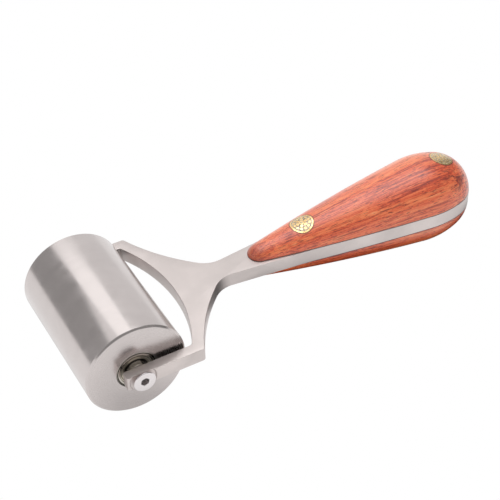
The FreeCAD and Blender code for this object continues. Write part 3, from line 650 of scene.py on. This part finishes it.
class Graph:
    """A node tree being built: short calls that make its nodes and join them."""

    def __init__(self, tree):
        """Starts from the coordinates of the object that carries the tree."""
        self.tree = tree
        self.place = self.node("ShaderNodeTexCoord").outputs["Object"]

    def node(self, kind, inputs=(), **settings):
        """A node, its settings made first, and then its sockets joined or given a value."""
        made = self.tree.nodes.new(kind)
        for name, value in settings.items():
            setattr(made, name, value)
        for socket, value in dict(inputs).items():
            if isinstance(value, bpy.types.NodeSocket):
                self.tree.links.new(value, made.inputs[socket])
            else:
                made.inputs[socket].default_value = value
        return made

    def maths(self, operation, first, second=0.5):
        """One operation on two numbers."""
        return self.node("ShaderNodeMath", {0: first, 1: second}, operation=operation).outputs[0]

    def vector(self, operation, first, second):
        """One operation on two vectors; a distance gives a number."""
        made = self.node("ShaderNodeVectorMath", {0: first, 1: second}, operation=operation)
        return made.outputs["Value" if operation == "DISTANCE" else "Vector"]

    def apart(self, source):
        """The three numbers in a vector."""
        split = self.node("ShaderNodeSeparateXYZ", {0: source})
        return split.outputs["X"], split.outputs["Y"], split.outputs["Z"]

    def levels(self, source, low, high, first=0.0, last=1.0):
        """A smooth step: the first value up to low, the last value from high on."""
        inputs = {"Value": source, "From Min": low, "From Max": high}
        inputs.update({"To Min": first, "To Max": last})
        return self.node("ShaderNodeMapRange", inputs, interpolation_type="SMOOTHSTEP").outputs[0]


class Finish(Graph):
    """A material on a principled shader, with the textures that finishes share."""

    def __init__(self, name, **values):
        """Starts the material, with even values for some of the shader's sockets."""
        self.material = bpy.data.materials.new(name)
        self.material.use_nodes = True
        super().__init__(self.material.node_tree)
        self.shader = self.tree.nodes["Principled BSDF"]
        for socket, value in values.items():
            self.shader.inputs[socket.replace("_", " ")].default_value = value

    def drive(self, socket, source):
        """Joins an output to one of the shader's sockets."""
        self.tree.links.new(source, self.shader.inputs[socket])

    def moved(self, stretch, shift=(0, 0, 0), turn=(0, 0, 0), source=None):
        """Coordinates times a stretch, then turned, then shifted."""
        inputs = {"Vector": source or self.place, "Scale": stretch}
        inputs.update({"Location": shift, "Rotation": turn})
        return self.node("ShaderNodeMapping", inputs).outputs[0]

    def noise(self, where, detail=3.0, rough=0.5, twist=0.0):
        """Noise in space with about one lump for each whole step of the coordinates."""
        inputs = {"Vector": where, "Scale": 1.0, "Detail": detail}
        inputs.update({"Roughness": rough, "Distortion": twist})
        return self.node("ShaderNodeTexNoise", inputs).outputs["Fac"]

    def line_noise(self, where, detail=3.0, rough=0.5):
        """Noise along one number, which draws rings or lines."""
        inputs = {"W": where, "Scale": 1.0, "Detail": detail, "Roughness": rough}
        return self.node("ShaderNodeTexNoise", inputs, noise_dimensions="1D").outputs["Fac"]

    def blend(self, share, first, second):
        """The first colour where the share is 0, the second where it is 1."""
        inputs = {0: share, 6: first, 7: second}
        return self.node("ShaderNodeMix", inputs, data_type="RGBA").outputs[2]

    def ramp(self, share, *stops):
        """A colour read from (position, colour) stops."""
        made = self.node("ShaderNodeValToRGB", {"Fac": share})
        elements = made.color_ramp.elements
        while len(elements) < len(stops):
            elements.new(0.5)
        for element, (at, colour) in zip(elements, stops):
            element.position, element.color = at, colour
        return made.outputs["Color"]

    def bump(self, height, depth, strength=1.0, under=None):
        """A normal tipped by a height, on top of another normal if one is given."""
        inputs = {"Height": height, "Distance": depth, "Strength": strength}
        if under is not None:
            inputs["Normal"] = under
        return self.node("ShaderNodeBump", inputs).outputs["Normal"]

    def axle_radius(self):
        """Distance from the axle's line."""
        level = self.vector("MULTIPLY", self.place, (1, 0, 1))
        return self.vector("DISTANCE", level, (0, 0, AXLE_Z))


# Dark colour for grime and painted shade in crevices between parts and in the socket.
GRIME_AND_PAINTED_SHADE = tone(38, 33, 26)
# Painted shade for the faces between the arms, beside the roller.
PAINTED_GAP_SHADE = tone(58, 50, 46)
STEP = 0.02 * MM


def turned_steel(name, colour, roughness, lines_per_mm=4.0, groove=0.0006 * MM, grime_and_shade_rings=(), face=None):
    """Lathe-finished steel: fine rings that follow both the faces and the outside.

    Each item of the dark rings is a radius, a half width and a share of the dark colour,
    grime and painted shade in the crevices, that sits there beyond a distance from the middle
    of the axle. The face, if given, is such a distance with a roughness of its own past it.
    """
    steel = Finish(name, Metallic=1.0)
    _, along, _ = steel.apart(steel.place)
    far = steel.maths("ABSOLUTE", along)
    radius = steel.axle_radius()
    reach = steel.maths("ADD", radius, along)
    lines = steel.line_noise(steel.maths("MULTIPLY", reach, lines_per_mm / MM), 2.0, 0.6)
    bands = steel.line_noise(steel.maths("MULTIPLY", reach, 0.22 / MM), 1.0, 0.5)
    smudge = steel.noise(steel.moved((70, 70, 70)), 4.0, 0.6, 0.4)
    from_lines = steel.levels(lines, 0.3, 0.7, 0.0, 0.5)
    from_smudge = steel.levels(smudge, 0.3, 0.7, 0.0, 0.5)
    share = steel.maths("ADD", from_lines, from_smudge)
    shade = steel.blend(share, shaded(colour, 0.93), shaded(colour, 1.05))
    # Dark rings: grime and painted shade where parts meet and in the socket.
    for ring, half, amount, beyond in grime_and_shade_rings:
        away = steel.maths("ABSOLUTE", steel.maths("SUBTRACT", radius, ring))
        grime_and_shade_share = steel.levels(away, half * 0.5, half, amount, 0.0)
        grime_and_shade_share = steel.maths("MULTIPLY", grime_and_shade_share, steel.levels(far, beyond, beyond + STEP))
        shade = steel.blend(grime_and_shade_share, shade, GRIME_AND_PAINTED_SHADE)
    steel.drive("Base Color", shade)

    duller = steel.levels(smudge, 0.3, 0.75, -0.03, 0.05)
    uneven = steel.maths("ADD", duller, steel.levels(bands, 0.3, 0.7, -0.02, 0.02))
    lined = steel.levels(lines, 0.2, 0.8, roughness - 0.02, roughness + 0.03)
    if face:
        beyond, face_roughness = face
        extra = steel.levels(far, beyond, beyond + STEP, 0.0, face_roughness - roughness)
        lined = steel.maths("ADD", lined, extra)
    steel.drive("Roughness", steel.maths("ADD", lined, uneven))
    steel.drive("Normal", steel.bump(lines, groove, 0.6))
    return steel.material


def ground_steel(name, colour, roughness):
    """Satin plate steel: a fine random grain, faint smudges, and walls painted lighter than the flat
    faces as a painted highlight.

    The faces between the arms beside the roller are painted dark as painted shade in the gap.
    """
    steel = Finish(name, Metallic=0.85)
    grain = steel.noise(steel.moved((500, 2200, 2200)), 2.0, 0.6)
    smudge = steel.noise(steel.moved((45, 60, 60)), 4.0, 0.55, 0.5)
    cloudy = steel.levels(smudge, 0.3, 0.68)
    facing = steel.node("ShaderNodeNewGeometry").outputs["Normal"]
    level = steel.maths("ABSOLUTE", steel.apart(facing)[2])
    # Painted highlight: walls, whose normals lie level, are painted lighter than the flat faces.
    flat_shade = steel.blend(cloudy, shaded(colour, 0.93), shaded(colour, 1.03))
    painted_wall_highlight = steel.blend(cloudy, colour, shaded(colour, 1.22))
    shade = steel.blend(steel.levels(level, 0.4, 0.9), painted_wall_highlight, flat_shade)

    # Painted shade: the faces between the arms, beside the roller, are painted dark for the gap's
    # shade.
    along, across, _ = steel.apart(steel.place)
    inner = ARM_OUTER - ARM_WIDTH
    sideways = steel.maths("ABSOLUTE", across)
    between = steel.levels(sideways, inner + STEP, inner + 0.05 * MM, 1.0, 0.0)
    beside = steel.levels(along, ROLLER_RADIUS, ROLLER_RADIUS + 3 * MM, 1.0, 0.0)
    shade = steel.blend(steel.maths("MULTIPLY", between, beside), shade, PAINTED_GAP_SHADE)
    steel.drive("Base Color", shade)

    grainy = steel.levels(grain, 0.2, 0.8, -0.03, 0.04)
    rough = steel.maths("ADD", grainy, steel.levels(smudge, 0.3, 0.7, -0.02, 0.03))
    steel.drive("Roughness", steel.maths("ADD", rough, roughness))
    steel.drive("Normal", steel.bump(grain, 0.0008 * MM, 0.5))
    return steel.material


def lacquered_hardwood(name):
    """Red hardwood along the handle under clear lacquer.

    Bands, streaks and fibres are noises drawn out along X at three widths, pores are short
    dark dashes and veins are long dark lines. All read coordinates whose Y and Z shrink as
    the handle swells, so that the grain fans out with its outline. Flecks are where the
    grain interlocks. The colour deepens towards the butt, at the nose and beside the pins, and
    the line along the steel is darkened as glue and painted contact shade.
    """
    wood = Finish(name, Coat_Weight=1.0, Coat_IOR=1.48, Roughness=0.45)
    along, across, height = wood.apart(wood.place)
    above_axis = wood.maths("SUBTRACT", height, AXLE_Z)
    spread = wood.levels(along, HANDLE_TIP, BELLY[0], 1.9, 0.9)
    fanned_y = wood.maths("MULTIPLY", across, spread)
    fanned_z = wood.maths("MULTIPLY", above_axis, spread)
    fanned = {"X": along, "Y": fanned_y, "Z": fanned_z}
    flow = wood.node("ShaderNodeCombineXYZ", fanned).outputs[0]

    bands = wood.noise(wood.moved((10, 170, 170), (2.3, 0.4, 1.7), source=flow), 3.0, 0.55, 0.6)
    streaks = wood.noise(wood.moved((24, 1150, 1150), (0, 5, 2), source=flow), 5.0, 0.66, 0.25)
    fibres = wood.noise(wood.moved((110, 2600, 2600), source=flow), 3.0, 0.6)
    flecks = wood.noise(wood.moved((520, 900, 900), (1, 8, 3)), 3.0, 0.7, 0.8)
    grain = wood.maths("MULTIPLY", bands, 0.32)
    for layer, weight in ((streaks, 0.44), (fibres, 0.14), (flecks, 0.22)):
        grain = wood.maths("ADD", grain, wood.maths("MULTIPLY", layer, weight))
    colour = wood.ramp(
        grain,
        (0.43, tone(126, 26, 12)),
        (0.49, tone(196, 68, 34)),
        (0.55, tone(232, 100, 56)),
        (0.62, tone(246, 128, 76)),
        (0.71, tone(252, 160, 108)),
    )
    pores = wood.noise(wood.moved((230, 2300, 2300), (9, 2, 4), source=flow), 2.0, 0.5, 0.2)
    pores = wood.levels(pores, 0.60, 0.65)
    colour = wood.blend(wood.maths("MULTIPLY", pores, 0.75), colour, tone(104, 20, 12))
    veins = wood.noise(wood.moved((12, 950, 950), (4, 1, 6), source=flow), 3.0, 0.6, 0.35)
    veins = wood.levels(veins, 0.57, 0.63)
    colour = wood.blend(wood.maths("MULTIPLY", veins, 0.62), colour, tone(136, 32, 18))

    rear = wood.levels(along, BUTT_X - 24 * MM, BUTT_X - 4 * MM)
    stain = wood.noise(wood.moved((120, 260, 260), (5, 3, 1)), 4.0, 0.65, 1.0)
    stain = wood.maths("MULTIPLY", rear, wood.levels(stain, 0.50, 0.64))
    colour = wood.blend(stain, colour, tone(108, 20, 12))
    nose = wood.levels(along, HANDLE_TIP + 1 * MM, HANDLE_TIP + 9 * MM, 0.45, 0.0)
    colour = wood.blend(nose, colour, tone(120, 34, 20))

    # The line along the steel: glue, and painted contact shade where the wood meets the plate.
    above_steel = wood.maths("ABSOLUTE", above_axis)
    above_steel = wood.maths("SUBTRACT", above_steel, (PLATE_HIGH - PLATE_LOW) / 2)
    glue_and_contact_shade = wood.levels(above_steel, 0.15 * MM, 0.6 * MM, 0.9, 0.0)
    colour = wood.blend(glue_and_contact_shade, colour, tone(52, 16, 12))
    plan = wood.vector("MULTIPLY", wood.place, (1, 1, 0))
    for pin_x in (FRONT_PIN_X, REAR_PIN_X):
        away = wood.vector("DISTANCE", plan, (pin_x, 0, 0))
        ring = wood.levels(away, PIN_RADIUS + 0.1 * MM, PIN_RADIUS + 0.6 * MM, 0.8, 0.0)
        colour = wood.blend(ring, colour, tone(60, 22, 14))
    wood.drive("Base Color", colour)

    relief = wood.bump(streaks, 0.03 * MM, 0.5)
    wood.drive("Normal", wood.bump(pores, -0.03 * MM, 0.5, relief))
    wave = wood.noise(wood.moved((60, 240, 240), (7, 7, 7)), 3.0, 0.55)
    film = wood.bump(wave, 0.05 * MM, 0.4)
    wood.drive("Coat Normal", wood.bump(streaks, 0.05 * MM, 0.5, film))
    wood.drive("Coat Roughness", wood.levels(veins, 0.0, 1.0, 0.30, 0.46))
    return wood.material


def polished_brass(name):
    """Brass sanded flush with the wood: fine random scratches and slight tarnish."""
    brass = Finish(name, Metallic=1.0)
    scratch = brass.noise(brass.moved((3200, 700, 700), turn=(0, 0, 0.6)), 2.0, 0.6)
    tarnish = brass.noise(brass.moved((700, 700, 700), (2, 5, 1)), 3.0, 0.6)
    dull = brass.levels(tarnish, 0.38, 0.66)
    brass.drive("Base Color", brass.blend(dull, tone(250, 216, 156), tone(222, 180, 122)))
    brass.drive("Roughness", brass.levels(scratch, 0.3, 0.7, 0.22, 0.4))
    brass.drive("Normal", brass.bump(scratch, 0.002 * MM, 0.5))
    return brass.material


def pin_resin(name):
    """Epoxy filled with brass dust: tan, with dark and bright specks and small near-black dots."""
    resin = Finish(name, Roughness=0.35, Coat_Weight=1.0, Coat_Roughness=0.1)
    speck = resin.noise(resin.moved((1500, 1500, 500)), 3.0, 0.65)
    colour = resin.ramp(
        speck,
        (0.36, tone(92, 74, 54)),
        (0.48, tone(168, 144, 112)),
        (0.60, tone(214, 192, 150)),
    )
    cells = {"Vector": resin.moved((620, 620, 0)), "Scale": 1.0, "Randomness": 0.8}
    from_middle = resin.node("ShaderNodeTexVoronoi", cells).outputs["Distance"]
    dark_dot = resin.levels(from_middle, 0.17, 0.27, 0.95, 0.0)
    resin.drive("Base Color", resin.blend(dark_dot, colour, tone(18, 12, 8)))
    resin.drive("Normal", resin.bump(speck, 0.004 * MM, 0.5))
    return resin.material


# --- Building -----------------------------------------------------------------------------

# Rings of grime and painted shade in crevices and the socket: radius, half width, share, and the
# distance from the axle's middle beyond which they lie.
ROLLER_GRIME_AND_SHADE = [(SEAT_RADIUS, 0.12 * MM, 0.7, ROLLER_HALF - 1.5 * MM)]
RING_GRIME_AND_SHADE = [
    (BEARING_RADIUS - 0.45 * MM, 0.30 * MM, 1.0, 0.0),
    (SHIELD_RADIUS, 0.12 * MM, 0.8, 0.0),
    (INNER_LAND, 0.3 * MM, 0.9, 0.0),
]
SHIELD_GRIME_AND_SHADE = [
    (SHIELD_RADIUS, 0.12 * MM, 0.9, 0.0),
    (SHIELD_RADIUS - 0.55 * MM, 0.2 * MM, 0.85, 0.0),
    (INNER_LAND + 0.25 * MM, 0.3 * MM, 0.9, 0.0),
]
SOCKET_GRIME_AND_SHADE = [(0.6 * SOCKET_APOTHEM, 0.95 * MM, 0.5, 0.0)]
BARREL_END = ROLLER_HALF - 0.1 * MM

plate_finish = ground_steel("satin_plate_steel", tone(202, 193, 190), 0.38)
roller_finish = turned_steel(
    "turned_roller_steel", tone(208, 200, 198), 0.19, grime_and_shade_rings=ROLLER_GRIME_AND_SHADE, face=(BARREL_END, 0.26)
)
screw_finish = turned_steel("screw_steel", tone(228, 222, 222), 0.20, 6.0, 0.0004 * MM, SOCKET_GRIME_AND_SHADE)
ring_finish = turned_steel("bearing_ring_steel", tone(206, 199, 190), 0.24, 8.0, 0.0003 * MM, RING_GRIME_AND_SHADE)
shield_finish = turned_steel(
    "bearing_shield_steel", tone(214, 204, 188), 0.36, 5.0, 0.0005 * MM, SHIELD_GRIME_AND_SHADE
)
spacer_finish = turned_steel("spacer_steel", tone(180, 174, 168), 0.25, 7.0, 0.0005 * MM)
cage_finish = turned_steel("pressed_cage_steel", tone(176, 168, 156), 0.32)
wood_finish = lacquered_hardwood("lacquered_red_hardwood")
brass_finish = polished_brass("polished_brass")
resin_finish = pin_resin("brass_dust_resin")

fork_and_tang(plate_finish)
handle_scales(wood_finish)
roller_piece(roller_finish)
bearings(ring_finish, shield_finish)
spacers(spacer_finish)
piece("axle_screw_turned", screw_mesh(), "fork", "screw_steel", screw_finish, "axle_screw")

KEPT_NODES = {
    "spacer_tube": spacer_finish,
    "left_cage": cage_finish,
    "right_cage": cage_finish,
    "left_balls": ring_finish,
    "right_balls": ring_finish,
    "front_pin_tube": brass_finish,
    "front_pin_rods": brass_finish,
    "front_pin_resin": resin_finish,
    "rear_pin_tube": brass_finish,
    "rear_pin_rods": brass_finish,
    "rear_pin_resin": resin_finish,
}
for node, finish in KEPT_NODES.items():
    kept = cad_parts[node]
    kept.data.materials.clear()
    kept.data.materials.append(finish)


# --- Studio: floor, cards, light and camera --------------------------------------------------

HUB = Vector((0, 0, AXLE_Z))


def glow(name, radiance):
    """A surface that gives off an even white light."""
    lit = bpy.data.materials.new(name)
    lit.use_nodes = True
    nodes = lit.node_tree.nodes
    nodes.clear()
    emission = nodes.new("ShaderNodeEmission")
    emission.inputs["Color"].default_value = (1, 1, 1, 1)
    emission.inputs["Strength"].default_value = radiance
    output = nodes.new("ShaderNodeOutputMaterial")
    lit.node_tree.links.new(emission.outputs[0], output.inputs["Surface"])
    return lit


def stage_piece(name, points, faces, radiance):
    """A glowing surface that is part of the studio."""
    mesh = bpy.data.meshes.new(name)
    mesh.from_pydata(np.reshape(points, (-1, 3)).tolist(), [], faces.tolist())
    mesh.materials.append(glow(name, radiance))
    made = bpy.data.objects.new(name, mesh)
    bpy.context.collection.objects.link(made)
    return made


def card(name, azimuths, elevations, distance, radiance):
    """A patch of a sphere about the roller, which only reflections and shading see.

    A direction has an azimuth from +X towards +Y and an elevation above the floor.
    """
    azimuth = np.radians(np.linspace(*azimuths, 16))[:, None]
    elevation = np.radians(np.linspace(*elevations, 12))[None]
    points = [
        distance * np.cos(azimuth) * np.cos(elevation),
        distance * np.sin(azimuth) * np.cos(elevation),
        HUB.z + distance * np.sin(elevation) + 0 * azimuth,
    ]
    made = stage_piece(name, np.stack(points, -1), quads(16, 12), radiance)
    made.visible_camera = False
    return made


def shaded_floor():
    """What the tool's underside sees: a floor that darkens with closeness to the tool.

    The radiance rises by a smooth step with the distance from the line under the handle
    and from the line on which the roller stands, and the darker of the two counts. The
    nearest point of a line is the place itself, held between the line's two ends.
    """
    made = stage_piece("shaded_floor", floor_corners, np.array([[0, 1, 2, 3]]), 1.0)
    made.visible_camera = False
    graph = Graph(made.data.materials[0].node_tree)
    under_handle = ((HANDLE_TIP + 12 * MM, 0, 0), (BUTT_X - 4 * MM, 0, 0))
    under_roller = ((0, -ROLLER_HALF, 0), (0, ROLLER_HALF, 0))
    radiances = []
    for (low, high), near, far, least in (
        (under_handle, 15 * MM, 26 * MM, 0.0),
        (under_roller, 2 * MM, 30 * MM, 0.66),
    ):
        nearest = graph.vector("MINIMUM", graph.vector("MAXIMUM", graph.place, low), high)
        away = graph.vector("DISTANCE", graph.place, nearest)
        radiances.append(graph.levels(away, near, far, least))
    emission = next(node for node in graph.tree.nodes if node.type == "EMISSION")
    darker = graph.maths("MINIMUM", *radiances)
    graph.tree.links.new(darker, emission.inputs["Strength"])


FLOOR_HALF = 30.0
floor_corners = np.array([(-1, -1, 0), (1, -1, 0), (1, 1, 0), (-1, 1, 0)]) * FLOOR_HALF
floor = stage_piece("floor", floor_corners, np.array([[0, 1, 2, 3]]), 1.0)
floor.visible_glossy = False
floor.visible_diffuse = False
shaded_floor()
card("dark_card", (106, 152), (-2.4, 44), 0.5, 0.39)
card("back_softbox", (68, 106), (40, 72), 1.2, 1.42)
card("back_wall", (22, 66), (-1.0, 58), 1.7, 0.86)
card("right_card", (-34, 32), (-1.0, 52), 1.5, 0.26)
card("front_card", (-160, -35), (10, 58), 1.6, 0.35)

overhead = bpy.data.lights.new("overhead_softbox", "AREA")
overhead.shape, overhead.size, overhead.size_y = "RECTANGLE", 0.75, 0.6
overhead.energy = 3.4
overhead_light = bpy.data.objects.new("overhead_softbox", overhead)
overhead_light.location = Vector((0.30, 0.15, 1.0))
overhead_light.rotation_mode = "QUATERNION"
overhead_light.rotation_quaternion = (overhead_light.location - HUB).to_track_quat("Z", "Y")
overhead_light.visible_camera = False
bpy.context.collection.objects.link(overhead_light)

world = bpy.data.worlds.new("studio")
world.use_nodes = True
world.node_tree.nodes["Background"].inputs["Color"].default_value = (1, 1, 1, 1)
world.node_tree.nodes["Background"].inputs["Strength"].default_value = 1.0
bpy.context.scene.world = world
bpy.context.scene.view_settings.view_transform = "Standard"

AIM = Vector((0.067916, 0.006872, AXLE_Z))
CAMERA_AZIMUTH, CAMERA_ELEVATION, CAMERA_ROLL = map(math.radians, (-28.09, 40.99, 1.774))
CAMERA_DISTANCE = 0.5159
back = Vector(
    (
        math.sin(CAMERA_AZIMUTH) * math.cos(CAMERA_ELEVATION),
        -math.cos(CAMERA_AZIMUTH) * math.cos(CAMERA_ELEVATION),
        math.sin(CAMERA_ELEVATION),
    )
)
lens = bpy.data.cameras.new("camera")
lens.lens, lens.sensor_width = 92.335, 36
camera = bpy.data.objects.new("camera", lens)
camera.location = AIM + back * CAMERA_DISTANCE
camera.rotation_mode = "QUATERNION"
camera.rotation_quaternion = back.to_track_quat("Z", "Y") @ Quaternion((0, 0, 1), -CAMERA_ROLL)
bpy.context.collection.objects.link(camera)
bpy.context.scene.camera = camera
